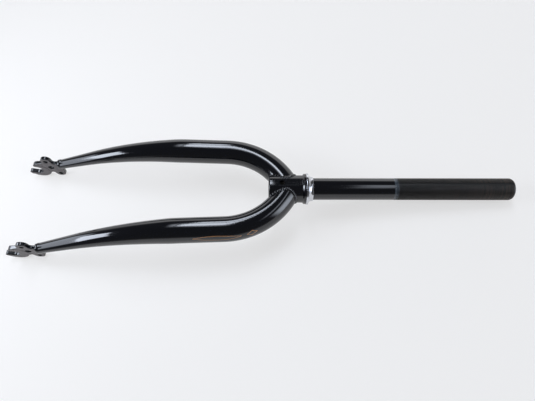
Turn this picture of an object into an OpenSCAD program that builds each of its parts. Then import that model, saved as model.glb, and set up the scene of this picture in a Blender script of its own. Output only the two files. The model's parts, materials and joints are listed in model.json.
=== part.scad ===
// Welded steel bicycle fork: two bent and tapered legs, a threaded steerer with a
// wide crown barrel, a pressed crown race and two slotted dropout plates.
// It is drawn with +X along the steerer towards its threaded end, +Y across the
// wheel and +Z towards the rear of the bicycle, with zero at the crown race seat.
// lie_down() then turns it into the pose in which it rests on a table.

/* [Steerer] */
// Outside diameter of the steerer, thread included
steerer_d = 25.4; // [22:0.1:28]
// Length of the steerer above the crown race seat
steerer_len = 239.6; // [180:0.1:300]
// Length of the thread and its keyway, from the top end down
thread_len = 136; // [30:1:160]
// Bore for the stem quill
stem_bore_d = 22.2; // [18:0.1:24]
// Bore of the thick wall at the crown
butt_bore_d = 20.2; // [15:0.1:22]
// Length of the thick wall above the crown race seat
butt_len = 45; // [20:1:80]
// Length of the taper between the two bores
butt_taper = 12; // [5:1:30]
// Width of the keyway
keyway_w = 3; // [2:0.1:4]
// Depth of the keyway
keyway_depth = 0.9; // [0.5:0.1:1.1]
// Chamfer at the top end
top_chamfer = 1.1; // [0.3:0.1:1.4]

/* [Crown] */
// Outside diameter of the crown barrel
barrel_d = 32; // [30:0.5:38]
// Length of the crown barrel below the crown race seat
barrel_len = 43; // [41:0.5:60]
// Chamfer round the open lower end
barrel_chamfer = 1.8; // [0.5:0.1:2]
// How far the flange under the crown race stands out from the barrel
flange_out = 1.7; // [0.5:0.1:4]
// Thickness of the flange
flange_t = 2.4; // [1:0.1:4]
// Diameter of the crown race seat
race_seat_d = 26.4; // [25.8:0.1:29]
// Length of the crown race seat
race_seat_len = 7.5; // [4:0.1:10]
// Diameter of the brake bolt hole
brake_hole_d = 6.4; // [5:0.1:8]
// Distance of the brake bolt hole below the crown race seat
brake_hole_drop = 27.5; // [15:0.5:33]

/* [Crown race] */
// Largest diameter of the crown race
race_d = 36.6; // [34:0.1:42]
// Height of the crown race
race_h = 8; // [6:0.1:10]
// Height of the straight rim of the crown race
race_rim_h = 2.4; // [1:0.1:4]
// Radius of the ball track
track_r = 4.8; // [4.6:0.1:8]

/* [Legs] */
// Outside diameter of the legs below the crown
leg_d = 28.6; // [22:0.1:30]
// Wall of the leg tubes
leg_wall = 1.5; // [1:0.1:2.5]
// Outside diameter of a leg at its lower end
tip_d = 13.2; // [12:0.1:20]
// Distance between the leg centres where the crown bend ends
crown_w = 100.7; // [90:0.1:130]
// Distance from the crown race seat to the lower end of the crown bend
crown_drop = 92.5; // [85:0.5:110]
// Radius of the crown bend
crown_bend_r = 82; // [70:1:95]
// Distance from the crown race seat to the start of the rake bend
rake_drop = 135.5; // [120:0.5:160]
// Radius of the rake bend
rake_bend_r = 385; // [250:1:450]
// Angle of the rake bend
rake_angle = 20.5; // [12:0.1:25]
// Distance from the crown race seat to the start of the taper
taper_drop = 152.5; // [125:0.5:200]
// Diameter of the vent hole on the inner side of a leg
vent_d = 4; // [2:0.1:5]
// Distance of the vent hole above the lower end of its leg
vent_rise = 11.5; // [11:0.5:40]
// Angle of the vent hole from the inner side of its leg towards the front
vent_turn = 30; // [0:1:45]

/* [Dropouts] */
// Distance from the crown race seat to the axle, along the steerer
axle_drop = 349.5; // [320:0.5:420]
// Distance between the inner faces of the dropouts
hub_w = 110; // [90:1:130]
// Thickness of a dropout at its washer land
drop_t = 6; // [5:0.1:7]
// Height of the washer land above the plate, on each face
land_h = 0.5; // [0.2:0.1:0.8]
// Radius of the washer land on the inner face
inner_land_r = 12; // [10:0.1:14]
// Radius of the washer land on the outer face
outer_land_r = 15.8; // [10:0.1:16.5]
// Width of the axle slot
slot_w = 14; // [9:0.1:14.5]
// Angle of the axle slot to the steerer, its mouth towards the rear
slot_tilt = 18; // [10:0.5:25]
// Diameter of the two eyelet holes, tapped for M5
eyelet_d = 5; // [4:0.1:6.5]
// Diameter of the safety washer hole
washer_hole_d = 6.6; // [4:0.1:7.5]

/* [Hidden] */

black_paint = "#15161a";
plate_paint = "#2a2729";
chrome = "#c9ccd2";

$fn = 96;
past = 1;                 // how far a cutter runs past what it cuts
seat_gap = 0.01;          // radial gap of a pressed seat
cope_gap = 0.07;          // gap under the facets of a coped tube end
slip_gap = 0.1;           // gap on each side of a dropout in its leg
bead_gap = 0.14;          // gap under the facets of a weld bead

steerer_r = steerer_d / 2;
barrel_r = barrel_d / 2;
leg_r = leg_d / 2;
tip_r = tip_d / 2;

// Sides of a swept tube, and rings along its bends
tube_sides = 40;
crown_rings = 11;
rake_rings = 13;

// A dropout's outline, with the axle at zero, +x towards the crown and +z towards the
// rear. Its corners are [x, z, radius], and a corner of no radius is a plain point.
slot_r = slot_w / 2;
rear_eyelet = [19.5, 19];
front_eyelet = [27.4, -8.8];
washer_hole = [20.6, 5.6];
rear_lobe_r = 5.9;
rear_lobe_rise = 0.7;
front_lobe_r = 5.2;
jaw_centre = [1.8, -0.7];
jaw_r = 15;
jaw_centre_in_slot = slot_frame(jaw_centre);
jaw_reach = sqrt(pow(jaw_r, 2) - pow(slot_r + jaw_centre_in_slot.y, 2));
jaw_tip = in_slot([jaw_centre_in_slot.x - jaw_reach, -slot_r]);
jaw_tip_angle = atan2(jaw_tip.y - jaw_centre.y, jaw_tip.x - jaw_centre.x) + 360;
jaw_tip_r = 1.4;
jaw_arc_skip = 18;        // angle left at the tip for its rounded corner
jaw_arc_step = 8;
jaw_arc_end = 338;
lower_jaw = concat(
    [[each jaw_tip, jaw_tip_r]],
    [for (a = [jaw_tip_angle + jaw_arc_skip:jaw_arc_step:jaw_arc_end])
        [each jaw_centre + jaw_r * [cos(a), sin(a)], 0]],
    [[19.4, -4.4, 2.2]]);
front_lobe = [
    [front_eyelet.x - front_lobe_r, front_eyelet.y - front_lobe_r, front_lobe_r],
    [front_eyelet.x + front_lobe_r, front_eyelet.y - front_lobe_r, front_lobe_r],
    [34.6, 2, 1.5],
    [33, 15, 2],
];
rear_lobe_top = rear_eyelet.y + rear_lobe_rise + rear_lobe_r;
rear_lobe = [
    [26, 12.8, 2.4],
    [rear_eyelet.x + rear_lobe_r, rear_lobe_top, rear_lobe_r],
    [rear_eyelet.x - rear_lobe_r, rear_lobe_top, rear_lobe_r],
    [13.2, 15.8, 1.6],
];
upper_jaw = [
    [1.6, 13.1, 6],
    [each in_slot([-5.7, slot_r]), 2.2],
];
slot_back = [
    [each in_slot([0, slot_r]), 0],
    [each in_slot([0, -slot_r]), 0],
];
outline = rounded(concat(lower_jaw, front_lobe, rear_lobe, upper_jaw, slot_back));

// Where a leg's axis ends, from the axle
leg_end_x = 35;
leg_end_z = 10.1;
// A dropout's tongue goes up into its leg, with its four corners just in the leg's wall
plate_half = drop_t / 2 - land_h;
tongue_len = 9;
tongue_bite = 0.05;
tongue_half = sqrt(pow(tip_r - leg_wall + tongue_bite, 2) - pow(plate_half, 2));
// How far a washer land's round end lies past the axle, how far the land runs back from
// there, and how far the outer one sits towards the lower jaw
land_reach = 3.6;
land_run = 40;
outer_land_drop = 0.7;
// How far the weld stands out from a leg's lower end
cap_h = 2.2;
// Leg length of the weld bead at the crown, how full its face is, its points, and how many
// of the tube's sides it runs along each way from the outer side of its leg
bead_w = 3.2;
bead_crest = 0.12;
bead_sides = 5;
bead_reach = 18;

// The leg's axis: a crown bend, a straight stretch that leans outwards, a rake bend
// and a straight stretch down to the dropout.
leg_end_drop = axle_drop - leg_end_x;
drop_y = (hub_w + drop_t) / 2;
splay = atan((drop_y - crown_w / 2) / (leg_end_drop - crown_drop));
bend_centre_x = -crown_drop - crown_bend_r * sin(splay);
bend_centre_y = crown_w / 2 - crown_bend_r * cos(splay);
lean = [-cos(splay), sin(splay), 0];
side = [sin(splay), cos(splay), 0];
rake_start = [-crown_drop, crown_w / 2, 0] + lean * (rake_drop - crown_drop) / cos(splay);
rake_end = rake_point(rake_angle);
end_run = (leg_end_drop + rake_end.x) / (cos(splay) * cos(rake_angle));
leg_end = rake_end + end_run * rake_dir(rake_angle);
axle = [-axle_drop, leg_end.z - leg_end_z];

// The pose at rest: the lower jaws and the rim of the steerer's end are on the table
rest_corner = [steerer_len - top_chamfer, -steerer_r];
jaw_points = [for (p = outline) axle + p];
rest_tilt = max([for (p = jaw_points) atan2(rest_corner.y - p.y, rest_corner.x - p.x)]);
rest_lift = -turned(rest_corner, rest_tilt).y;
front_x = min([for (p = jaw_points) turned(p, rest_tilt).x]);
back_x = turned([steerer_len - top_chamfer, steerer_r], rest_tilt).x;

function unit(v) = v / norm(v);

// A point beside the axle in the slot's own directions, and back again
function slot_frame(p) = [p.x * cos(slot_tilt) - p.y * sin(slot_tilt),
                          p.x * sin(slot_tilt) + p.y * cos(slot_tilt)];
function in_slot(p) = [p.x * cos(slot_tilt) + p.y * sin(slot_tilt),
                       -p.x * sin(slot_tilt) + p.y * cos(slot_tilt)];

function turned(p, a) = [p.x * cos(a) + p.y * sin(a), -p.x * sin(a) + p.y * cos(a)];

// An outline whose corners, given as [x, y, radius], are rounded by tangent arcs
function rounded(corners) =
    let (n = len(corners))
    [for (i = [0:n - 1]) each corner_arc(corners[(i + n - 1) % n], corners[i],
                                         corners[(i + 1) % n])];

function corner_arc(before, at, after) =
    let (b = [at.x, at.y],
         u = unit([before.x, before.y] - b),
         v = unit([after.x, after.y] - b),
         half = acos(u * v) / 2,
         r = at.z,
         centre = b + unit(u + v) * r / sin(half),
         start = b + u * r / tan(half) - centre,
         turn = (180 - 2 * half) * (cross(u, v) < 0 ? 1 : -1),
         steps = max(2, ceil(abs(turn) / 9)))
    r == 0 ? [b] :
    [for (i = [0:steps])
        let (a = turn * i / steps)
        centre + [start.x * cos(a) - start.y * sin(a), start.x * sin(a) + start.y * cos(a)]];

// Direction of a leg and a point on its axis, at an angle round the rake bend
function rake_dir(a) = lean * cos(a) - [0, 0, sin(a)];
function rake_point(a) =
    rake_start + rake_bend_r * (lean * sin(a) - [0, 0, 1 - cos(a)]);

// Radius of the outside of a leg where its axis is at x
function leg_radius(x) =
    -x < taper_drop ? leg_r
                    : leg_r + (tip_r - leg_r) * (-x - taper_drop) / (leg_end_drop - taper_drop);

// Angle round the crown bend at which the line of a tube of radius r, at angle t
// round the tube, meets a cylinder of radius barrel
function cope_angle(r, t, barrel) =
    acos((sqrt(pow(barrel, 2) - pow(r * sin(t), 2)) - bend_centre_y)
         / (crown_bend_r + r * cos(t)));

// Angle at which the same line comes level with the lower end of the barrel
function under_angle(r, t) =
    asin(min(1, (-barrel_len - cope_gap - bend_centre_x) / (crown_bend_r + r * cos(t))));

function crown_surface(r, t, a) =
    let (reach = crown_bend_r + r * cos(t))
    [bend_centre_x + reach * sin(a), bend_centre_y + reach * cos(a), r * sin(t)];

// Rings of a tube whose wall is inset from the outside of the leg. The tube is coped to
// the side of the barrel, and on its inner side it runs in under the barrel's lower end.
function crown_ring(i, inset) =
    [for (k = [0:tube_sides - 1])
        let (t = 360 * k / tube_sides,
             r = leg_r - inset,
             a = max(cope_angle(r, t, barrel_r + cope_gap), under_angle(r, t)))
        crown_surface(r, t, splay + (a - splay) * i / crown_rings)];

function straight_ring(centre, along, inset) =
    let (r = leg_radius(centre.x) - inset,
         up = cross(side, along))
    [for (k = [0:tube_sides - 1])
        let (t = 360 * k / tube_sides)
        centre + r * (cos(t) * side + sin(t) * up)];

function tube_rings(inset) = concat(
    [for (i = [crown_rings:-1:0]) crown_ring(i, inset)],
    [for (i = [0:rake_rings])
        let (a = rake_angle * i / rake_rings)
        straight_ring(rake_point(a), rake_dir(a), inset)],
    [straight_ring(leg_end, rake_dir(rake_angle), inset)]);

// Faces between ring i and ring i + 1 of a list of rings with n points each
function skin_faces(i, n, first, flip) =
    [for (k = [0:n - 1])
        let (a = first + i * n + k,
             b = first + i * n + (k + 1) % n)
        each flip ? [[a, b, a + n], [b, b + n, a + n]]
                  : [[a, a + n, b], [b, a + n, b + n]]];

// Faces of the end between an outer ring and an inner one
function end_faces(outer, inner, n, flip) =
    [for (k = [0:n - 1])
        let (j = (k + 1) % n)
        each flip ? [[outer + k, inner + k, outer + j], [outer + j, inner + k, inner + j]]
                  : [[outer + k, outer + j, inner + k], [outer + j, inner + j, inner + k]]];

module lie_down() {
    translate([-(front_x + back_x) / 2, 0, rest_lift])
        rotate([0, rest_tilt, 0])
            children();
}

module about_x() {
    rotate([90, 0, 90])
        rotate_extrude()
            children();
}

module other_side(left) {
    if (left)
        children();
    else
        mirror([0, 1, 0])
            children();
}

module steerer_profile() {
    butt_r = butt_bore_d / 2;
    bore_r = stem_bore_d / 2;
    seat_r = race_seat_d / 2;
    polygon([
        [butt_r, -barrel_len],
        [barrel_r - barrel_chamfer, -barrel_len],
        [barrel_r, -barrel_len + barrel_chamfer],
        [barrel_r, -flange_t - flange_out],
        [barrel_r + flange_out, -flange_t],
        [barrel_r + flange_out, 0],
        [seat_r, 0],
        [seat_r, race_seat_len],
        [steerer_r, race_seat_len + seat_r - steerer_r],
        [steerer_r, steerer_len - top_chamfer],
        [steerer_r - top_chamfer, steerer_len],
        [bore_r, steerer_len],
        [bore_r, butt_len + butt_taper],
        [butt_r, butt_len],
    ]);
}

module steerer_tube() {
    color(black_paint)
        lie_down()
            difference() {
                about_x() steerer_profile();
                translate([-brake_hole_drop, 0, 0])
                    cylinder(d = brake_hole_d, h = barrel_d + 2 * past, center = true);
                translate([steerer_len - thread_len, -keyway_w / 2, steerer_r - keyway_depth])
                    cube([thread_len + past, keyway_w, keyway_depth + past]);
            }
}

// The ball track is an arc about a point out and up from the race's top corner
module race_profile() {
    inner_r = race_seat_d / 2 + seat_gap;
    low = [race_d / 2, race_rim_h];
    high = [inner_r + 1, race_h];
    half = norm(low - high) / 2;
    out = unit([high.y - low.y, low.x - high.x]);
    centre = (low + high) / 2 + out * sqrt(pow(track_r, 2) - pow(half, 2));
    from = atan2(low.y - centre.y, low.x - centre.x);
    to = atan2(high.y - centre.y, high.x - centre.x);
    sweep = (to - from + 540) % 360 - 180;
    steps = 10;
    polygon(concat(
        [[inner_r, 0], [race_d / 2, 0]],
        [for (i = [0:steps])
            centre + track_r * [cos(from + sweep * i / steps), sin(from + sweep * i / steps)]],
        [[inner_r, race_h]]));
}

module crown_race() {
    color(chrome)
        lie_down()
            about_x() race_profile();
}

module leg_shell() {
    outer = tube_rings(0);
    inner = tube_rings(leg_wall);
    rings = len(outer);
    n = tube_sides;
    first = rings * n;
    polyhedron(
        points = concat([for (ring = outer) each ring], [for (ring = inner) each ring]),
        faces = concat(
            [for (i = [0:rings - 2]) each skin_faces(i, n, 0, true)],
            [for (i = [0:rings - 2]) each skin_faces(i, n, first, false)],
            end_faces(0, first, n, true),
            end_faces(first - n, 2 * first - n, n, false)),
        convexity = 8);
}

// Puts its children at the lower end of the left leg, with +X up along the leg's axis
module at_leg_end() {
    translate(leg_end)
        rotate([0, 0, -splay])
            rotate([0, -rake_angle, 0])
                children();
}

module leg(left) {
    color(black_paint)
        lie_down()
            other_side(left)
                difference() {
                    leg_shell();
                    dropout_blank(slip_gap);
                    at_leg_end()
                        translate([vent_rise, 0, 0])
                            rotate([90 + vent_turn, 0, 0])
                                cylinder(d = vent_d, h = leg_r);
                }
}

module left_leg() {
    leg(true);
}

module right_leg() {
    leg(false);
}

// Extrudes an outline drawn in X and Z between two distances outwards from the
// plate's middle
module slab(from, to) {
    translate([0, drop_y + to, 0])
        rotate([90, 0, 0])
            linear_extrude(height = to - from)
                children();
}

module tongue_outline(gap) {
    translate([leg_end.x, leg_end.z])
        rotate(rake_angle)
            translate([-tongue_half, -tongue_half - gap])
                square([tongue_half + tongue_len + gap, 2 * (tongue_half + gap)]);
}

module plate_outline() {
    polygon(jaw_points);
}

module dropout_blank(gap) {
    slab(-plate_half - gap, plate_half + gap) {
        plate_outline();
        tongue_outline(gap);
    }
}

// A washer land: a band along the slot with a round end past the axle
module land_outline(r, drop) {
    intersection() {
        plate_outline();
        translate(axle)
            rotate(-slot_tilt)
                translate([land_reach, -drop]) {
                    translate([-land_run, -r])
                        square([land_run, 2 * r]);
                    circle(r = r);
                }
    }
}

module dropout_hole(at, d) {
    translate([axle.x + at.x, drop_y, axle.y + at.y])
        rotate([90, 0, 0])
            cylinder(d = d, h = drop_t + 2 * past, center = true);
}

module dropout(left) {
    color(plate_paint)
        lie_down()
            other_side(left)
                difference() {
                    union() {
                        dropout_blank(0);
                        slab(0, drop_t / 2)
                            land_outline(outer_land_r, outer_land_drop);
                        slab(-drop_t / 2, 0)
                            land_outline(inner_land_r, 0);
                    }
                    dropout_hole([0, 0], slot_w);
                    dropout_hole(rear_eyelet, eyelet_d);
                    dropout_hole(front_eyelet, eyelet_d);
                    dropout_hole(washer_hole, washer_hole_d);
                }
}

module left_dropout() {
    dropout(true);
}

module right_dropout() {
    dropout(false);
}

// A weld bead in the corner between a leg and the side of the barrel: at each place round
// the leg it has a root in the corner, a toe on the barrel, a full face and a toe on the leg
function on_barrel(p) =
    let (r = norm([p.y, p.z]), want = barrel_r + bead_gap)
    [p.x, p.y * want / r, p.z * want / r];

function bead_section(t) =
    let (r = leg_r + bead_gap,
         a = cope_angle(r, t, barrel_r + bead_gap),
         root = crown_surface(r, t, a),
         outward = [cos(t) * sin(a), cos(t) * cos(a), sin(t)],
         barrel_out = unit([0, root.y, root.z]),
         along_barrel = unit(outward - (outward * barrel_out) * barrel_out),
         toe_on_barrel = on_barrel(root + bead_w * along_barrel),
         bead_turn = bead_w / (crown_bend_r + r * cos(t)) * 180 / PI,
         toe_on_leg = crown_surface(r, t, a - bead_turn),
         middle = (toe_on_barrel + toe_on_leg) / 2,
         crest = middle + bead_crest * (middle - root))
    [root, toe_on_barrel, (toe_on_barrel + 2 * crest) / 3,
     (toe_on_leg + 2 * crest) / 3, toe_on_leg];

module crown_weld(left) {
    n = bead_sides;
    sections = [for (k = [-bead_reach:bead_reach])
        let (section = bead_section(360 * k / tube_sides))
        if (section[1].x > -barrel_len + barrel_chamfer) section];
    end = (len(sections) - 1) * n;
    color(black_paint)
        lie_down()
            other_side(left)
                polyhedron(
                    points = [for (s = sections) each s],
                    faces = concat(
                        [for (k = [0:n:end - n]) each skin_faces(0, n, k, false)],
                        [[for (j = [0:n - 1]) j]],
                        [[for (j = [n - 1:-1:0]) end + j]]),
                    convexity = 8);
}

module left_crown_weld() {
    crown_weld(true);
}

module right_crown_weld() {
    crown_weld(false);
}

// The shallow dome of weld that closes a leg's lower end on both faces of its dropout
module dropout_weld(left) {
    cap_r = (pow(tip_r, 2) + pow(cap_h, 2)) / (2 * cap_h);
    color(black_paint)
        lie_down()
            other_side(left)
                difference() {
                    at_leg_end()
                        intersection() {
                            translate([cap_r - cap_h, 0, 0])
                                sphere(r = cap_r);
                            translate([-cap_h - past, -leg_r, -leg_r])
                                cube([cap_h + past, leg_d, leg_d]);
                        }
                    translate([leg_end.x - leg_r, drop_y - plate_half, leg_end.z - leg_r])
                        cube([leg_d, 2 * plate_half, leg_d]);
                }
}

module left_dropout_weld() {
    dropout_weld(true);
}

module right_dropout_weld() {
    dropout_weld(false);
}

steerer_tube();
crown_race();
left_leg();
right_leg();
left_dropout();
right_dropout();
left_crown_weld();
right_crown_weld();
left_dropout_weld();
right_dropout_weld();
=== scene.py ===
"""Looks of a welded steel bicycle fork that lies on a pale studio table."""

import json
import math

import bmesh
import bpy
from mathutils import Matrix, Vector


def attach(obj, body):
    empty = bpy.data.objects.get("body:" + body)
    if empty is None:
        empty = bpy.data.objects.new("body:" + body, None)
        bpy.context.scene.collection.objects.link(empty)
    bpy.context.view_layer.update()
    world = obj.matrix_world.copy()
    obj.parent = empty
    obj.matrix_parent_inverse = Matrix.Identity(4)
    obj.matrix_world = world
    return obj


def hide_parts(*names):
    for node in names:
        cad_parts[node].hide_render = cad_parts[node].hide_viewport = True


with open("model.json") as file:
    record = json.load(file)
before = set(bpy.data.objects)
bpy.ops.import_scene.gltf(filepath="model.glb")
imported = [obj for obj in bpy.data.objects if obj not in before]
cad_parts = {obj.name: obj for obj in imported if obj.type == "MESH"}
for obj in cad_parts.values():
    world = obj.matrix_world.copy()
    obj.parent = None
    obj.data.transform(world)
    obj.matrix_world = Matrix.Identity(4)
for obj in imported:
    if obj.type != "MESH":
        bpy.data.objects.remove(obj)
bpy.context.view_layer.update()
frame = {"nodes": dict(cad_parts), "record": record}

MM = 0.001

# The fork's own sizes, in mm, are the CAD's, save for the thread's length. The fork's frame has
# +X up the steerer from the crown race seat, +Y across the wheel and +Z towards the rear of
# the bicycle.
STEERER_R = 12.7
STEERER_LEN = 239.6
THREAD_LEN = 138.4   # the CAD's 136 and the bare run-out that the photo shows below it
STEM_BORE_R = 11.1
BUTT_BORE_R = 10.1
BUTT_LEN = 45.0
BUTT_TAPER = 12.0
KEYWAY_W = 3.0
KEYWAY_DEPTH = 0.9
TOP_CHAMFER = 1.1
BARREL_R = 16.0
BARREL_LEN = 43.0
BARREL_CHAMFER = 1.8
FLANGE_R = 17.7
FLANGE_T = 2.4
SEAT_R = 13.2
SEAT_LEN = 7.5
BRAKE_HOLE_R = 3.2
BRAKE_HOLE_DROP = 27.5
RACE_R = 18.3
RACE_H = 8.0
RACE_RIM_H = 2.4
TRACK_R = 4.8
LEG_R = 14.3
LEG_WALL = 1.5
TIP_R = 6.6
CROWN_W = 100.7
CROWN_DROP = 92.5
CROWN_BEND_R = 82.0
RAKE_DROP = 135.5
RAKE_BEND_R = 385.0
RAKE_ANGLE = math.radians(20.5)
TAPER_DROP = 152.5
VENT_R = 2.0
VENT_RISE = 11.5
VENT_TURN = math.radians(30)
AXLE_DROP = 349.5
HUB_W = 110.0
DROP_T = 6.0
LEG_END_X = 35.0
THREAD_PITCH = 25.4 / 24
THREAD_DEPTH = 0.6
RUN_OUT_LEN = 3.8
THREAD_START = STEERER_LEN - THREAD_LEN

DROP_Y = (HUB_W + DROP_T) / 2
LEG_END_DROP = AXLE_DROP - LEG_END_X
SPLAY = math.atan((DROP_Y - CROWN_W / 2) / (LEG_END_DROP - CROWN_DROP))
BEND_CENTRE = Vector((-CROWN_DROP - CROWN_BEND_R * math.sin(SPLAY),
                      CROWN_W / 2 - CROWN_BEND_R * math.cos(SPLAY), 0))
LEAN = Vector((-math.cos(SPLAY), math.sin(SPLAY), 0))
ACROSS = Vector((math.sin(SPLAY), math.cos(SPLAY), 0))
BEND_END = Vector((-CROWN_DROP, CROWN_W / 2, 0))
RAKE_START = BEND_END + LEAN * (RAKE_DROP - CROWN_DROP) / math.cos(SPLAY)


def rake_dir(angle):
    """Which way the leg runs where the rake has turned it by the angle."""
    return LEAN * math.cos(angle) - Vector((0, 0, math.sin(angle)))


def rake_point(angle):
    """Where the leg's centre line is at that angle round the rake's bend."""
    return RAKE_START + RAKE_BEND_R * (LEAN * math.sin(angle)
                                       - Vector((0, 0, 1 - math.cos(angle))))


RAKE_END = rake_point(RAKE_ANGLE)
END_RUN = (LEG_END_DROP + RAKE_END.x) / (math.cos(SPLAY) * math.cos(RAKE_ANGLE))
LEG_END = RAKE_END + rake_dir(RAKE_ANGLE) * END_RUN


def leg_radius(x):
    """The leg's radius at a place along X: even at first, then tapered to its tip."""
    if -x < TAPER_DROP:
        return LEG_R
    return LEG_R + (TIP_R - LEG_R) * (-x - TAPER_DROP) / (LEG_END_DROP - TAPER_DROP)


# The pose on the table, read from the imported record: the stem bore's axis and its middle
stem = next(m for m in frame["record"]["mounts"] if m["name"] == "stem_bore")
TILT = math.atan2(-stem["axis"][2], stem["axis"][0])
STEM_MIDDLE = (BUTT_LEN + BUTT_TAPER + STEERER_LEN) / 2 * MM
LIE = (Matrix.Translation(Vector(stem["pos_m"]))
       @ Matrix.Rotation(TILT, 4, "Y")
       @ Matrix.Translation((-STEM_MIDDLE, 0, 0)))


MERGE_WITHIN = 0.01 * MM
SHARP_EDGE = math.radians(28)
ROUND_SIDES = 144   # of what is turned about the steerer's axis


def mm(*values):
    return tuple(value * MM for value in values)


def deselect():
    for thing in bpy.context.selected_objects:
        thing.select_set(False)


def pick(piece):
    deselect()
    piece.select_set(True)
    bpy.context.view_layer.objects.active = piece


def edit(piece):
    pick(piece)
    bpy.ops.object.mode_set(mode="EDIT")
    bpy.ops.mesh.select_mode(type="VERT")


def done():
    bpy.ops.object.mode_set(mode="OBJECT")


def named(name):
    piece = bpy.context.object
    piece.name = name
    piece.data.name = name
    return piece


def select_faces(piece, wanted):
    """Selects, in edit mode, the faces for which wanted(face) is true."""
    shape = bmesh.from_edit_mesh(piece.data)
    bpy.ops.mesh.select_mode(type="FACE")
    for face in shape.faces:
        face.select_set(wanted(face))
    shape.select_flush_mode()
    bmesh.update_edit_mesh(piece.data)


def select_open_edges():
    bpy.ops.mesh.select_non_manifold(extend=False, use_wire=False, use_multi_face=False,
                                     use_non_contiguous=False, use_verts=False)


def modifier(piece, kind, **settings):
    """Adds a modifier with its settings and applies it."""
    pick(piece)
    added = piece.modifiers.new(kind.lower(), kind)
    for key, value in settings.items():
        setattr(added, key, value)
    bpy.ops.object.modifier_apply(modifier=added.name)


def cut(piece, cutter):
    """Cuts the cutter's shape out of a piece and throws the cutter away."""
    modifier(piece, "BOOLEAN", object=cutter, operation="DIFFERENCE", solver="EXACT")
    bpy.data.objects.remove(cutter)


def outwards(piece):
    """Merges doubles and turns the faces of a closed piece outwards."""
    edit(piece)
    bpy.ops.mesh.select_all(action="SELECT")
    bpy.ops.mesh.remove_doubles(threshold=MERGE_WITHIN)
    bpy.ops.mesh.normals_make_consistent(inside=False)
    done()


def settle(piece, degrees=30):
    """Lays a piece down in the fork's pose, with its place in its mesh, and smooths it."""
    pick(piece)
    bpy.ops.object.transform_apply(location=True, rotation=True, scale=True)
    piece.matrix_world = LIE
    bpy.ops.object.transform_apply(location=True, rotation=True, scale=True)
    bpy.ops.object.shade_smooth_by_angle(angle=math.radians(degrees))


def lathe(name, profile):
    """Spins a closed profile of (x, radius) points about the X axis."""
    deselect()
    bpy.ops.mesh.primitive_plane_add(size=MM, location=mm(profile[0][0], 0, profile[0][1]))
    piece = named(name)
    bpy.ops.object.transform_apply(location=True)
    edit(piece)
    bpy.ops.mesh.select_all(action="SELECT")
    bpy.ops.mesh.merge(type="CENTER")
    for before, after in zip(profile, profile[1:] + profile[:1]):
        step = mm(after[0] - before[0], 0, after[1] - before[1])
        bpy.ops.mesh.extrude_region_move(TRANSFORM_OT_translate={"value": step})
    bpy.ops.mesh.select_all(action="SELECT")
    bpy.ops.mesh.remove_doubles(threshold=MERGE_WITHIN)
    bpy.ops.mesh.spin(steps=ROUND_SIDES, angle=2 * math.pi, center=(0, 0, 0), axis=(1, 0, 0))
    done()
    outwards(piece)
    return piece


def rod(name, middle, direction, radius, length, sides):
    """A cutter: a round rod about its middle."""
    deselect()
    bpy.ops.mesh.primitive_cylinder_add(vertices=sides, radius=radius * MM, depth=length * MM)
    piece = named(name)
    turn = Vector((0, 0, 1)).rotation_difference(Vector(direction)).to_matrix().to_4x4()
    piece.matrix_world = Matrix.Translation(Vector(mm(*middle))) @ turn
    return piece


def block(name, low, high):
    """A cutter: a block between two corners."""
    deselect()
    middle = [(a + b) / 2 for a, b in zip(low, high)]
    bpy.ops.mesh.primitive_cube_add(size=1, location=mm(*middle),
                                    scale=mm(*[b - a for a, b in zip(low, high)]))
    return named(name)


def colour(code):
    """An sRGB hex colour as the linear colour that a socket takes."""
    parts = [int(code[i:i + 2], 16) / 255 for i in (1, 3, 5)]
    return (*[c / 12.92 if c <= 0.04045 else ((c + 0.055) / 1.055) ** 2.4 for c in parts], 1)


def node(tree, kind, settings=None, stops=(), **links):
    """Adds a node: settings are its own properties, stops are a colour ramp's (place, hex
    colour or grey level), and links are its inputs, by name with _ for a space or by number
    as _6, each a value or another node's output."""
    made = tree.nodes.new("ShaderNode" + kind)
    for key, value in (settings or {}).items():
        setattr(made, key, value)
    for i, (place, shade) in enumerate(stops):
        points = made.color_ramp.elements
        point = points[i] if i < len(points) else points.new(place)
        point.position = place
        point.color = colour(shade) if isinstance(shade, str) else (shade, shade, shade, 1)
    for key, value in links.items():
        name = int(key[1:]) if key[1:].isdigit() else key.replace("_", " ")
        if isinstance(value, bpy.types.NodeSocket):
            tree.links.new(value, made.inputs[name])
        else:
            made.inputs[name].default_value = value
    return made


def material(name):
    """A new material, its tree, its shader, and the place on a piece in the fork's own
    frame in millimetres, which all patterns are measured in."""
    made = bpy.data.materials.new(name)
    made.use_nodes = True
    tree = made.node_tree
    to_fork = LIE.inverted()
    place = node(tree, "Mapping", Vector=node(tree, "TexCoord").outputs["Object"],
                 Location=tuple(v / MM for v in to_fork.translation),
                 Rotation=tuple(to_fork.to_euler()),
                 Scale=(1 / MM, 1 / MM, 1 / MM)).outputs["Vector"]
    return made, tree, tree.nodes["Principled BSDF"], place


ENAMEL_BLACK = "#04060d"
ENAMEL_IOR = 1.65


def rubbed_gloss(tree, place, least, most):
    """The roughness of enamel with rub marks 0.6 mm wide that run along the tube."""
    stretched = node(tree, "Mapping", Vector=place, Scale=(0.06, 1.6, 1.6)).outputs["Vector"]
    rubs = node(tree, "TexNoise", Vector=stretched, Scale=1.0, Detail=6.0, Roughness=0.7)
    return node(tree, "MapRange", Value=rubs.outputs["Fac"], From_Min=0.35, From_Max=0.75,
                To_Min=least, To_Max=most).outputs["Result"]


def orange_peel(tree, shader, place, strength):
    """The faint waves of sprayed enamel, about 2 mm from crest to crest."""
    peel = node(tree, "TexNoise", Vector=place, Scale=0.5, Detail=2.0)
    bump = node(tree, "Bump", Height=peel.outputs["Fac"], Strength=strength, Distance=0.001)
    tree.links.new(bump.outputs["Normal"], shader.inputs["Normal"])


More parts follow.
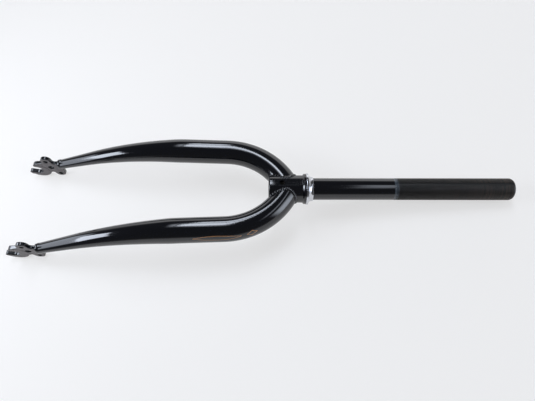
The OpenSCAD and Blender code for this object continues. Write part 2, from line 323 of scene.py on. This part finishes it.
def bronze_line(tree, place):
    """Where a leg's pinstripe is drawn: on its outer side, a thin spindle and a diamond."""
    axes = node(tree, "SeparateXYZ", Vector=place)
    # The spindle runs from 126 to 72 mm below the race seat, and is 5 mm wide at most
    run = node(tree, "MapRange", Value=axes.outputs["X"], From_Min=-126, From_Max=-72,
               To_Min=-1, To_Max=1).outputs["Result"]
    squared = node(tree, "Math", {"operation": "MULTIPLY"}, _0=run, _1=run).outputs["Value"]
    half = node(tree, "MapRange", Value=squared, To_Min=2.5, To_Max=0).outputs["Result"]
    # Its middle lies 6 mm to the rear of the leg's own
    off = node(tree, "Math", {"operation": "SUBTRACT"}, _0=axes.outputs["Z"], _1=6.0)
    off = node(tree, "Math", {"operation": "ABSOLUTE"}, _0=off.outputs["Value"])
    away = node(tree, "Math", {"operation": "SUBTRACT"}, _0=off.outputs["Value"], _1=half)
    away = node(tree, "Math", {"operation": "ABSOLUTE"}, _0=away.outputs["Value"])
    # A line is 0.7 mm wide with a soft edge
    line = node(tree, "MapRange", Value=away.outputs["Value"], From_Min=0.28, From_Max=0.42,
                To_Min=1, To_Max=0).outputs["Result"]
    within = node(tree, "Math", {"operation": "COMPARE"}, _0=run, _1=0, _2=0.985)
    line = node(tree, "Math", {"operation": "MULTIPLY"}, _0=line, _1=within.outputs["Value"])
    # The diamond's outline is 12 mm long and 6 mm wide, 61 mm below the seat
    beside = node(tree, "Math", {"operation": "ADD"}, _0=axes.outputs["X"], _1=61)
    beside = node(tree, "Math", {"operation": "ABSOLUTE"}, _0=beside.outputs["Value"])
    spread = node(tree, "Math", {"operation": "MULTIPLY_ADD"}, _0=beside.outputs["Value"],
                  _1=0.5, _2=off.outputs["Value"]).outputs["Value"]
    diamond = node(tree, "Math", {"operation": "COMPARE"}, _0=spread, _1=2.6, _2=0.5)
    drawn = node(tree, "Math", {"operation": "MAXIMUM"}, _0=line.outputs["Value"],
                 _1=diamond.outputs["Value"])
    # The right leg's outer side lies more than 52 mm from the wheel's plane
    outer = node(tree, "Math", {"operation": "LESS_THAN"}, _0=axes.outputs["Y"], _1=-52)
    return node(tree, "Math", {"operation": "MULTIPLY"}, _0=drawn.outputs["Value"],
                _1=outer.outputs["Value"]).outputs["Value"]


def enamel(name, dust=0.35, peel=0.02, lined=False):
    """Gloss black stove enamel, sprayed on steel tube and baked: a deep mirror-like black
    with a faint orange peel, a trace of dust and a few fine rub marks. A lined tube also
    carries a bronze pinstripe on its outer side: a long thin spindle and a small diamond."""
    made, tree, shader, place = material(name)
    # Dust lies in specks of about 1 mm
    specks = node(tree, "TexNoise", Vector=place, Scale=1.1, Detail=3.0, Roughness=0.8)
    dusty = node(tree, "ValToRGB", stops=[(0.62, 0.0), (0.74, dust)], Fac=specks.outputs["Fac"])
    tone = node(tree, "Mix", {"data_type": "RGBA"}, Factor=dusty.outputs["Color"],
                _6=colour(ENAMEL_BLACK), _7=colour("#3d3c3a")).outputs[2]
    if lined:
        tone = node(tree, "Mix", {"data_type": "RGBA"}, Factor=bronze_line(tree, place), _6=tone,
                    _7=colour("#a5744a")).outputs[2]
    tree.links.new(tone, shader.inputs["Base Color"])
    tree.links.new(rubbed_gloss(tree, place, 0.05, 0.12), shader.inputs["Roughness"])
    orange_peel(tree, shader, place, peel)
    shader.inputs["IOR"].default_value = ENAMEL_IOR
    return made


def forged_enamel():
    """Thin enamel over a hot-forged steel plate: it stands thick, black and glossy on the
    rounded edges, and is worn through by axle nuts and washers on the flat faces to the
    brownish grey of blasted steel with a fine grain."""
    made, tree, shader, place = material("worn_enamel_on_forged_steel")
    facing = node(tree, "SeparateXYZ", Vector=node(tree, "TexCoord").outputs["Normal"])
    facing = node(tree, "Math", {"operation": "ABSOLUTE"}, _0=facing.outputs["Y"])
    flat = node(tree, "MapRange", Value=facing.outputs["Value"], From_Min=0.9,
                From_Max=0.985).outputs["Result"]
    # Blast grain is about 0.5 mm, and the mottling under the enamel about 6 mm
    grain = node(tree, "TexNoise", Vector=place, Scale=2.0, Detail=4.0, Roughness=0.6)
    mottle = node(tree, "TexNoise", Vector=place, Scale=0.16, Detail=3.0)
    worn = node(tree, "ValToRGB", Fac=mottle.outputs["Fac"],
                stops=[(0.3, "#4c4547"), (0.55, "#5a5354"), (0.75, "#665f5f")])
    tone = node(tree, "Mix", {"data_type": "RGBA"}, Factor=flat, _6=colour(ENAMEL_BLACK),
                _7=worn.outputs["Color"])
    tree.links.new(tone.outputs[2], shader.inputs["Base Color"])
    matt = node(tree, "MapRange", Value=grain.outputs["Fac"], From_Min=0.3, From_Max=0.7,
                To_Min=0.38, To_Max=0.6)
    gloss = node(tree, "Mix", {"data_type": "FLOAT"}, Factor=flat, _2=0.08,
                 _3=matt.outputs["Result"])
    tree.links.new(gloss.outputs[0], shader.inputs["Roughness"])
    relief = node(tree, "Math", {"operation": "MULTIPLY"}, _0=flat, _1=0.25)
    bump = node(tree, "Bump", Height=grain.outputs["Fac"], Strength=relief.outputs["Value"],
                Distance=0.0004)
    tree.links.new(bump.outputs["Normal"], shader.inputs["Normal"])
    shader.inputs["IOR"].default_value = ENAMEL_IOR
    return made


def steerer_finish():
    """The steerer: gloss black enamel on the barrel and the plain length, a bare slate
    grey run-out, a thread cut after painting and blackened with oil and oxide, and a bare
    drawn bore."""
    made, tree, shader, place = material("enamelled_and_threaded_steel")
    axes = node(tree, "SeparateXYZ", Vector=place)
    along = axes.outputs["X"]
    flat = node(tree, "CombineXYZ", Y=axes.outputs["Y"], Z=axes.outputs["Z"])
    radius = node(tree, "VectorMath", {"operation": "LENGTH"},
                  _0=flat.outputs["Vector"]).outputs["Value"]
    bare = node(tree, "MapRange", Value=along, From_Min=THREAD_START - 0.4,
                From_Max=THREAD_START + 0.2).outputs["Result"]
    threaded = node(tree, "MapRange", Value=along, From_Min=THREAD_START + RUN_OUT_LEN,
                    From_Max=THREAD_START + RUN_OUT_LEN + 1.5).outputs["Result"]
    # The last 0.2 mm of the thread's crests is rubbed bright by nuts and cups
    crest = node(tree, "MapRange", Value=radius, From_Min=STEERER_R - 0.3,
                 From_Max=STEERER_R - 0.08).outputs["Result"]
    bore = node(tree, "MapRange", Value=radius, From_Min=STEM_BORE_R + 0.25,
                From_Max=STEM_BORE_R + 0.15).outputs["Result"]
    # Worn patches are about 12 mm across
    patches = node(tree, "TexNoise", Vector=place, Scale=0.08, Detail=5.0, Roughness=0.65)
    worn = node(tree, "ValToRGB", Fac=patches.outputs["Fac"], stops=[(0.35, 0.25), (0.7, 1.0)])
    # The wear differs from turn to turn, over some 2.5 mm. The crests are also painted
    # brighter towards the top: a painted sheen, where the thread reflects more light
    turns = node(tree, "TexNoise", {"noise_dimensions": "1D"}, W=along, Scale=0.4, Detail=1.0)
    turns = node(tree, "MapRange", Value=turns.outputs["Fac"], From_Min=0.4, From_Max=0.6,
                 To_Min=0.1, To_Max=1.2).outputs["Result"]
    painted_sheen_to_top = node(tree, "MapRange", Value=along, From_Min=THREAD_START + 30,
                From_Max=STEERER_LEN - 20, To_Min=0.15, To_Max=1.0).outputs["Result"]
    # How bright the crests are: real rubbed wear, with the painted sheen towards the top
    crest_wear_and_sheen = node(tree, "Math", {"operation": "MULTIPLY"}, _0=crest,
                      _1=worn.outputs["Color"]).outputs["Value"]
    for share in (turns, painted_sheen_to_top):
        crest_wear_and_sheen = node(tree, "Math", {"operation": "MULTIPLY"}, _0=crest_wear_and_sheen,
                          _1=share).outputs["Value"]
    thread_tone = node(tree, "Mix", {"data_type": "RGBA"}, Factor=crest_wear_and_sheen,
                       _6=colour("#0a0807"), _7=colour("#6e645c")).outputs[2]
    tone = node(tree, "Mix", {"data_type": "RGBA"}, Factor=bare, _6=colour(ENAMEL_BLACK),
                _7=colour("#454c53")).outputs[2]
    tone = node(tree, "Mix", {"data_type": "RGBA"}, Factor=threaded, _6=tone,
                _7=thread_tone).outputs[2]
    tone = node(tree, "Mix", {"data_type": "RGBA"}, Factor=bore, _6=tone,
                _7=colour("#55524f")).outputs[2]
    tree.links.new(tone, shader.inputs["Base Color"])
    metal = node(tree, "Math", {"operation": "MULTIPLY"}, _0=threaded, _1=crest_wear_and_sheen)
    metal = node(tree, "Math", {"operation": "MAXIMUM"}, _0=metal.outputs["Value"], _1=bore)
    tree.links.new(metal.outputs["Value"], shader.inputs["Metallic"])
    rough = rubbed_gloss(tree, place, 0.06, 0.15)
    for mask, value in ((bare, 0.26), (threaded, 0.48), (bore, 0.5)):
        rough = node(tree, "Mix", {"data_type": "FLOAT"}, Factor=mask, _2=rough,
                     _3=value).outputs[0]
    tree.links.new(rough, shader.inputs["Roughness"])
    orange_peel(tree, shader, place, 0.02)
    shader.inputs["IOR"].default_value = ENAMEL_IOR
    return made


def chrome():
    """Hard chrome on a turned and ground bearing race: a bright mirror with the faint
    rings that the grinding wheel left."""
    made, tree, shader, place = material("chrome_on_ground_steel")
    axes = node(tree, "SeparateXYZ", Vector=place)
    # Grinding rings are about 0.1 mm apart, and the haze changes over some 3 mm
    rings = node(tree, "TexNoise", {"noise_dimensions": "1D"}, W=axes.outputs["X"], Scale=9.0,
                 Detail=3.0)
    haze = node(tree, "TexNoise", Vector=place, Scale=0.3, Detail=3.0)
    shader.inputs["Base Color"].default_value = colour("#cfd1d6")
    shader.inputs["Metallic"].default_value = 1.0
    gloss = node(tree, "MapRange", Value=haze.outputs["Fac"], From_Min=0.3, From_Max=0.7,
                 To_Min=0.08, To_Max=0.18)
    tree.links.new(gloss.outputs["Result"], shader.inputs["Roughness"])
    bump = node(tree, "Bump", Height=rings.outputs["Fac"], Strength=0.05, Distance=0.0002)
    tree.links.new(bump.outputs["Normal"], shader.inputs["Normal"])
    return made


BLACK_ENAMEL = enamel("gloss_stove_enamel")
LINED_ENAMEL = enamel("gloss_stove_enamel_with_bronze_line", lined=True)
WELD_ENAMEL = enamel("gloss_stove_enamel_on_weld", dust=0.2, peel=0.05)
FORGED_ENAMEL = forged_enamel()
STEERER_FINISH = steerer_finish()
CHROME = chrome()


def finish_piece(piece, finish, node_name):
    piece.data.materials.clear()
    piece.data.materials.append(finish)
    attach(piece, "root")
    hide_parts(node_name)


def make_steerer():
    """Turned all over, with a rounded lower edge, then drilled and given its keyway."""
    root_r = STEERER_R - THREAD_DEPTH
    lower_edge = [(-BARREL_LEN + BARREL_CHAMFER * (1 - math.sin(angle)),
                   BARREL_R - BARREL_CHAMFER * (1 - math.cos(angle)))
                  for angle in [math.radians(18 * i) for i in reversed(range(6))]]
    profile = [(-BARREL_LEN, BUTT_BORE_R)] + lower_edge + [
        (-FLANGE_T - (FLANGE_R - BARREL_R), BARREL_R),
        (-FLANGE_T, FLANGE_R),
        (0, FLANGE_R),
        (0, SEAT_R),
        (SEAT_LEN, SEAT_R),
        (SEAT_LEN + SEAT_R - STEERER_R, STEERER_R),
        (THREAD_START, STEERER_R),
        (THREAD_START + RUN_OUT_LEN, root_r),
        (STEERER_LEN - (TOP_CHAMFER - THREAD_DEPTH), root_r),
        (STEERER_LEN, STEERER_R - TOP_CHAMFER),
        (STEERER_LEN, STEM_BORE_R),
        (BUTT_LEN + BUTT_TAPER, STEM_BORE_R),
        (BUTT_LEN, BUTT_BORE_R),
    ]
    steerer = lathe("steerer_tube_body", profile)
    modifier(steerer, "BEVEL", width=0.35 * MM, segments=3, limit_method="ANGLE",
             angle_limit=SHARP_EDGE)
    cut(steerer, rod("brake_drill", (-BRAKE_HOLE_DROP, 0, 0), (0, 0, 1), BRAKE_HOLE_R,
                     3 * BARREL_R, sides=64))
    cut(steerer, block("keyway_cutter",
                       (THREAD_START - 1, -KEYWAY_W / 2, STEERER_R - KEYWAY_DEPTH),
                       (STEERER_LEN + 1, KEYWAY_W / 2, STEERER_R + 1)))
    settle(steerer)
    finish_piece(steerer, STEERER_FINISH, "steerer_tube")


def make_thread():
    """The thread's ridge: a flat-topped triangle wound up the steerer, less the keyway."""
    lead_in = 1.2      # from the run-out's start to where the ridge starts
    left_plain = 2.6   # of the thread's length, at both its ends together
    sunk = 0.05        # of the ridge into the tube
    root_half = THREAD_PITCH / 2 * 0.98
    crest_half = THREAD_PITCH / 2 * 0.16
    deselect()
    bpy.ops.mesh.primitive_plane_add(size=MM)
    ridge = named("steerer_thread")
    edit(ridge)
    shape = bmesh.from_edit_mesh(ridge.data)
    corners = [(-root_half, -sunk), (root_half, -sunk), (crest_half, THREAD_DEPTH),
               (-crest_half, THREAD_DEPTH)]
    for vertex, (x, r) in zip(shape.faces[:][0].verts, corners):
        vertex.co = mm(THREAD_START + lead_in + x, 0, STEERER_R - THREAD_DEPTH + r)
    bmesh.update_edit_mesh(ridge.data)
    bpy.ops.mesh.select_all(action="SELECT")
    bpy.ops.mesh.delete(type="ONLY_FACE")
    done()
    modifier(ridge, "SCREW", axis="X", angle=2 * math.pi, screw_offset=THREAD_PITCH * MM,
             iterations=int((THREAD_LEN - left_plain) / THREAD_PITCH), steps=72,
             render_steps=72, use_merge_vertices=False)
    edit(ridge)
    bpy.ops.mesh.select_all(action="DESELECT")
    select_open_edges()
    bpy.ops.mesh.edge_face_add()
    done()
    # The keyway: cut along its two sides, and the ridge between them taken away
    for side in (-1, 1):
        edit(ridge)
        select_faces(ridge, lambda face: face.calc_center_median().z > 0)
        bpy.ops.mesh.bisect(plane_co=mm(0, side * KEYWAY_W / 2, 0), plane_no=(0, 1, 0))
        done()
    edit(ridge)
    select_faces(ridge, lambda face: face.calc_center_median().z > 0
                 and abs(face.calc_center_median().y) < KEYWAY_W / 2 * MM)
    bpy.ops.mesh.delete(type="FACE")
    bpy.ops.mesh.select_mode(type="EDGE")
    select_open_edges()
    bpy.ops.mesh.fill_holes(sides=0)
    bpy.ops.mesh.select_all(action="SELECT")
    bpy.ops.mesh.normals_make_consistent(inside=False)
    done()
    settle(ridge, 25)
    finish_piece(ridge, STEERER_FINISH, "steerer_tube")


def make_race():
    """Turned, with its ball track hollowed between the rim and the narrow top."""
    inner = SEAT_R + 0.01   # the gap of a pressed seat
    top_w = 1.0             # of the narrow top
    track_steps = 16
    low = Vector((RACE_RIM_H, RACE_R))
    high = Vector((RACE_H, inner + top_w))
    across = high - low
    out = Vector((across.y, -across.x)).normalized() * -1
    centre = (low + high) / 2 + out * math.sqrt(TRACK_R ** 2 - (across.length / 2) ** 2)
    first = math.atan2(low.y - centre.y, low.x - centre.x)
    last = math.atan2(high.y - centre.y, high.x - centre.x)
    sweep = (last - first + math.pi) % (2 * math.pi) - math.pi
    track = []
    for i in range(track_steps + 1):
        angle = first + sweep * i / track_steps
        track.append((centre.x + TRACK_R * math.cos(angle), centre.y + TRACK_R * math.sin(angle)))
    race = lathe("crown_race_ring", [(0, inner), (0, RACE_R)] + track + [(RACE_H, inner)])
    modifier(race, "BEVEL", width=0.3 * MM, segments=3, limit_method="ANGLE",
             angle_limit=SHARP_EDGE)
    settle(race)
    finish_piece(race, CHROME, "crown_race")


CROWN_START = math.radians(63)   # angle round the crown bend, just inside the barrel
LEG_SIDES = 96
CROWN_STEPS = 30
RAKE_STEPS = 28
END_STEPS = 4
COPE_BITE = 0.05   # how far a leg's coped end reaches into the barrel


def make_leg(name, node_name, side):
    """A tube bent at the crown, then raked and tapered: a ring is spun round the crown
    bend, then extruded, turned and narrowed down to the dropout."""
    spoke = Vector((math.sin(CROWN_START), math.cos(CROWN_START), 0))
    start = BEND_CENTRE + CROWN_BEND_R * spoke
    deselect()
    bpy.ops.mesh.primitive_circle_add(vertices=LEG_SIDES, radius=LEG_R * MM)
    leg = named(name)
    ring_x = Vector((0, 0, 1))
    ring_z = Vector((-math.cos(CROWN_START), math.sin(CROWN_START), 0))
    turn = Matrix((ring_x, ring_z.cross(ring_x), ring_z)).transposed().to_4x4()
    leg.matrix_world = Matrix.Translation(Vector(mm(*start))) @ turn
    bpy.ops.object.transform_apply(location=True, rotation=True)
    edit(leg)
    bpy.ops.mesh.select_all(action="SELECT")
    bpy.ops.mesh.spin(steps=CROWN_STEPS, angle=CROWN_START - SPLAY, center=mm(*BEND_CENTRE),
                      axis=(0, 0, -1))
    straight = (RAKE_START - BEND_END) * MM
    bpy.ops.mesh.extrude_region_move(TRANSFORM_OT_translate={"value": straight})
    radius = LEG_R
    place = RAKE_START
    turned = 0.0
    angles = [RAKE_ANGLE * i / RAKE_STEPS for i in range(1, RAKE_STEPS + 1)]
    stations = [(rake_point(angle), angle) for angle in angles]
    stations += [(RAKE_END + (LEG_END - RAKE_END) * i / END_STEPS, RAKE_ANGLE)
                 for i in range(1, END_STEPS + 1)]
    for point, angle in stations:
        bpy.ops.mesh.extrude_region_move(
            TRANSFORM_OT_translate={"value": (point - place) * MM})
        ring = bmesh.from_edit_mesh(leg.data)
        middle = Vector(mm(*point))
        swing = Matrix.Rotation(angle - turned, 4, ACROSS)
        size = leg_radius(point.x) / radius
        for vertex in ring.verts:
            if vertex.select:
                vertex.co = middle + swing @ (vertex.co - middle) * size
        bmesh.update_edit_mesh(leg.data)
        radius = leg_radius(point.x)
        place = point
        turned = angle
    done()
    outwards(leg)
    # The open tube's faces point at its axis here, so the wall grows inwards
    modifier(leg, "SOLIDIFY", thickness=LEG_WALL * MM, offset=1)
    # The barrel's cope stops at the barrel's lower end, and the tube runs in under it
    cope_run = BARREL_LEN + 20
    cut(leg, rod("barrel_cope", (cope_run / 2 - BARREL_LEN, 0, 0), (1, 0, 0),
                 BARREL_R - COPE_BITE, cope_run, sides=ROUND_SIDES))
    vent_turned = Matrix.Rotation(-VENT_TURN, 3, rake_dir(RAKE_ANGLE)) @ (-ACROSS)
    vent_at = LEG_END - rake_dir(RAKE_ANGLE) * VENT_RISE
    cut(leg, rod("vent_drill", vent_at + vent_turned * LEG_R / 2, vent_turned, VENT_R, LEG_R,
                 sides=40))
    if side < 0:
        pick(leg)
        leg.scale = (1, -1, 1)
        bpy.ops.object.transform_apply(scale=True)
        outwards(leg)
    settle(leg)
    finish_piece(leg, LINED_ENAMEL if side < 0 else BLACK_ENAMEL, node_name)


def make_dropout(name, node_name):
    """A copy of the CAD plate with its loose triangles merged and its edges rounded."""
    deselect()
    source = frame["nodes"][node_name]
    plate = bpy.data.objects.new(name, source.data.copy())
    bpy.context.scene.collection.objects.link(plate)
    edit(plate)
    bpy.ops.mesh.select_all(action="SELECT")
    bpy.ops.mesh.remove_doubles(threshold=MERGE_WITHIN)
    done()
    modifier(plate, "REMESH", mode="VOXEL", voxel_size=0.28 * MM)
    modifier(plate, "SMOOTH", factor=0.5, iterations=32)
    pick(plate)
    bpy.ops.object.shade_smooth()
    finish_piece(plate, FORGED_ENAMEL, node_name)


def cope_angle(t):
    """How far round the crown bend the line at angle t round the leg meets the barrel."""
    reach = math.sqrt(BARREL_R ** 2 - (LEG_R * math.sin(t)) ** 2) - BEND_CENTRE.y
    return math.acos(reach / (CROWN_BEND_R + LEG_R * math.cos(t)))


def crown_surface(t, a):
    """The point of the leg's surface at angle t round the leg and a round the crown bend."""
    reach = CROWN_BEND_R + LEG_R * math.cos(t)
    return Vector((BEND_CENTRE.x + reach * math.sin(a), BEND_CENTRE.y + reach * math.cos(a),
                   LEG_R * math.sin(t)))


def crown_pools():
    """Where the weld pools sit in the corner between a leg and the barrel: a stack 2 mm
    apart, each leaning on the one before it, that ends at the barrel's rim on both sides."""
    pools = 46
    pool_size = (1.4, 2.3, 1.25)   # half sizes along, across and out of the corner
    raised = 0.15                  # above the corner
    lean = Matrix.Rotation(math.radians(18), 4, "Y")
    step = 0.02                    # of angle, to find which way the corner runs
    places = []
    for i in range(pools):
        t = 2 * math.pi * i / pools
        angle = cope_angle(t)
        root = crown_surface(t, angle)
        if root.x < -BARREL_LEN + BARREL_CHAMFER:
            continue
        along = (crown_surface(t + step, cope_angle(t + step)) - root).normalized()
        leg_out = Vector((math.cos(t) * math.sin(angle), math.cos(t) * math.cos(angle),
                          math.sin(t)))
        barrel_out = Vector((0, root.y, root.z)).normalized()
        face = (leg_out + barrel_out).normalized()
        axes = Matrix((along, along.cross(face), face)).transposed().to_4x4()
        places.append(Matrix.Translation(Vector(mm(*(root + face * raised)))) @ axes @ lean
                      @ Matrix.Diagonal((*mm(*pool_size), 1)))
    return places


def dropout_pools():
    """Where the weld pools sit at a leg's lower end: one dome that closes it, and a row of
    small pools on each side of the plate."""
    down = rake_dir(RAKE_ANGLE)
    up = ACROSS.cross(down).normalized()
    axes = Matrix((down, ACROSS, up)).transposed().to_4x4()
    dome_size = (6.0, TIP_R * 0.98, TIP_R * 0.98)
    pool_size = (1.4, 0.9, 0.8)
    pitch = 1.15
    sizes = [dome_size]
    spots = [LEG_END - down * 0.6]
    for face in (-1, 1):
        for row in range(-4, 5):
            lift = row * pitch
            # The row bulges out and down at its middle, as the leg's round end does
            reach = math.sqrt(TIP_R ** 2 - lift ** 2)
            sizes.append(pool_size)
            spots.append(LEG_END + up * lift + ACROSS * face * (2.6 + 0.16 * reach)
                         + down * (0.5 + 0.1 * reach))
    return [Matrix.Translation(Vector(mm(*spot))) @ axes @ Matrix.Diagonal((*mm(*size), 1))
            for spot, size in zip(spots, sizes)]


def make_weld(name, node_name, side, places):
    """One weld pool, modelled once and copied to each place, and all run together."""
    deselect()
    bpy.ops.mesh.primitive_uv_sphere_add(segments=24, ring_count=14, radius=1)
    pool = named(name)
    copies = [bpy.data.objects.new(name, pool.data.copy()) for place in places[1:]]
    for copied in copies:
        bpy.context.scene.collection.objects.link(copied)
        copied.select_set(True)
    for copied, place in zip([pool] + copies, places):
        copied.matrix_world = place
    bpy.ops.object.join()
    bpy.ops.object.transform_apply(location=True, rotation=True, scale=True)
    modifier(pool, "REMESH", mode="VOXEL", voxel_size=0.24 * MM)
    modifier(pool, "SMOOTH", factor=0.5, iterations=2)
    if side < 0:
        pool.scale = (1, -1, 1)
        bpy.ops.object.transform_apply(scale=True)
        outwards(pool)
    settle(pool, 180)
    finish_piece(pool, WELD_ENAMEL, node_name)


make_steerer()
make_thread()
make_race()
for name, side in (("left", 1), ("right", -1)):
    make_leg(name + "_leg_tube", name + "_leg", side)
    make_dropout(name + "_dropout_plate", name + "_dropout")
    make_weld(name + "_crown_bead", name + "_crown_weld", side, crown_pools())
    make_weld(name + "_dropout_bead", name + "_dropout_weld", side, dropout_pools())


def make_table():
    """Smooth pale studio paper. Three fifths of what the camera and the gloss see of it is
    even white, so that the shadows stay soft; the light it throws is unchanged."""
    deselect()
    bpy.ops.mesh.primitive_circle_add(vertices=96, radius=4.0, fill_type="NGON")
    table = named("studio_table")
    made, tree, shader = material("matt_studio_paper")[:3]
    shader.inputs["Base Color"].default_value = colour("#fbf8f5")
    shader.inputs["Roughness"].default_value = 0.9
    shader.inputs["Specular IOR Level"].default_value = 0.0
    path = node(tree, "LightPath")
    seen = node(tree, "Math", {"operation": "MAXIMUM"}, _0=path.outputs["Is Camera Ray"],
                _1=path.outputs["Is Glossy Ray"])
    seen = node(tree, "Math", {"operation": "MAXIMUM"}, _0=seen.outputs["Value"],
                _1=path.outputs["Is Transmission Ray"])
    share = node(tree, "Math", {"operation": "MULTIPLY"}, _0=seen.outputs["Value"], _1=0.6)
    glow = node(tree, "Emission", Color=colour("#fcfcfc"), Strength=1.02)
    both = node(tree, "MixShader", Fac=share.outputs["Value"], _1=shader.outputs["BSDF"],
                _2=glow.outputs["Emission"])
    tree.links.new(both.outputs["Shader"], tree.nodes["Material Output"].inputs["Surface"])
    table.data.materials.append(made)


def soft_box(name, at, facing, size, level, core):
    """A softbox with a level core, which is a share of its half width, and a light that
    fades from there to its edges. The level is its radiance in W/m2/sr."""
    lamp = bpy.data.lights.new(name, "AREA")
    lamp.shape = "RECTANGLE"
    lamp.size, lamp.size_y = size
    lamp.energy = level * math.pi * size[0] * size[1]
    lamp.color = colour("#e9f1ff")[:3]
    lamp.use_nodes = True
    tree = lamp.node_tree
    across = node(tree, "VectorMath", {"operation": "SUBTRACT"},
                  _0=node(tree, "NewGeometry").outputs["Parametric"], _1=(0.5, 0.5, 0))
    across = node(tree, "VectorMath", {"operation": "ABSOLUTE"}, _0=across.outputs["Vector"])
    halves = node(tree, "SeparateXYZ", Vector=across.outputs["Vector"])
    fades = [node(tree, "MapRange", {"interpolation_type": "SMOOTHSTEP"},
                  Value=halves.outputs[axis], From_Min=core / 2, From_Max=0.5, To_Min=1,
                  To_Max=0).outputs["Result"] for axis in "XY"]
    even = node(tree, "Math", {"operation": "MULTIPLY"}, _0=fades[0], _1=fades[1])
    tree.links.new(even.outputs["Value"], tree.nodes["Emission"].inputs["Strength"])
    box = bpy.data.objects.new(name, lamp)
    bpy.context.scene.collection.objects.link(box)
    box.location = at
    box.rotation_euler = Vector(facing).to_track_quat("-Z", "Y").to_euler()


def make_world():
    """A dim studio: a lit wall behind the table, and dark overhead and near the camera."""
    world = bpy.data.worlds.new("dim_studio")
    bpy.context.scene.world = world
    world.use_nodes = True
    tree = world.node_tree
    axes = node(tree, "SeparateXYZ", Vector=node(tree, "TexCoord").outputs["Generated"])
    rise = node(tree, "MapRange", Value=axes.outputs["Z"], From_Min=-1.0, From_Max=1.0)
    dome = node(tree, "ValToRGB", Fac=rise.outputs["Result"],
                stops=[(0.0, 0.5), (0.5, 0.4), (0.58, 0.1), (1.0, 0.08)])
    # The wall stands 50 degrees either way of straight back and 20 degrees high
    wall = node(tree, "MapRange", Value=axes.outputs["Y"], From_Min=0.6, From_Max=0.9)
    low = node(tree, "MapRange", Value=axes.outputs["Z"], From_Min=0.24, From_Max=0.42,
               To_Min=1.0, To_Max=0.0)
    lit = node(tree, "Math", {"operation": "MULTIPLY"}, _0=wall.outputs["Result"],
               _1=low.outputs["Result"])
    shade = node(tree, "Mix", {"data_type": "RGBA"}, Factor=lit.outputs["Value"],
                 _6=dome.outputs["Color"], _7=(1.3, 1.3, 1.33, 1))
    tree.links.new(shade.outputs[2], tree.nodes["Background"].inputs["Color"])


def make_camera():
    """The photograph's viewpoint, worked out in the fork's own frame."""
    place = (-49.2015, -217.926, 411.3126)
    focal_pixels, picture_pixels = 399.884, 535
    yaw, pitch, roll = -0.0244122, 1.1123055, 0.0229052
    ahead = Vector((0, math.cos(pitch), -math.sin(pitch)))
    right = Vector((1, 0, 0))
    above = right.cross(ahead)
    spin = Matrix.Rotation(yaw, 3, "Z")
    ahead, right, above = spin @ ahead, spin @ right, spin @ above
    side = math.cos(roll) * right + math.sin(roll) * above
    top = -math.sin(roll) * right + math.cos(roll) * above
    turn = Matrix((side, top, -ahead)).transposed().to_4x4()
    lens = bpy.data.cameras.new("studio_camera")
    lens.sensor_width = 36.0
    lens.sensor_fit = "HORIZONTAL"
    lens.lens = focal_pixels / picture_pixels * lens.sensor_width
    lens.clip_start = 0.01
    camera = bpy.data.objects.new("studio_camera", lens)
    bpy.context.scene.collection.objects.link(camera)
    camera.matrix_world = LIE @ Matrix.Translation(Vector(mm(*place))) @ turn
    bpy.context.scene.camera = camera


make_table()
make_world()
make_camera()
# The lamps, placed by the highlights in the photo: place, facing, size, level and core
DOWN, RIGHTWARD, LEFTWARD = (0, 0, -1), (1, 0, 0), (-1, 0, 0)
soft_box("overhead_softbox", (-0.26, 1.35, 3.0), DOWN, (0.74, 1.7), 10.5, 0.5)
soft_box("overhead_near_edge", (-0.14, 0.66, 3.0), DOWN, (0.62, 1.0), 4.6, 0.3)
soft_box("far_softbox", (-0.3, 2.5, 3.0), DOWN, (0.6, 2.5), 8.0, 0.6)
soft_box("overhead_halo", (-0.5, 1.4, 3.0), DOWN, (1.3, 2.6), 3.6, 0.1)
soft_box("ceiling_strip", (1.95, 0.1, 3.0), DOWN, (0.8, 3.4), 2.2, 0.2)
soft_box("left_softbox", (-0.7, -0.03, 0.45), RIGHTWARD, (0.42, 0.3), 10.5, 0.7)
soft_box("left_low_panel", (-0.72, 0.05, 0.25), RIGHTWARD, (0.6, 0.24), 2.8, 0.7)
soft_box("right_softbox", (4.2, -1.1, 1.6), LEFTWARD, (3.7, 5.7), 4.6, 0.2)
bpy.context.scene.view_settings.view_transform = "Standard"
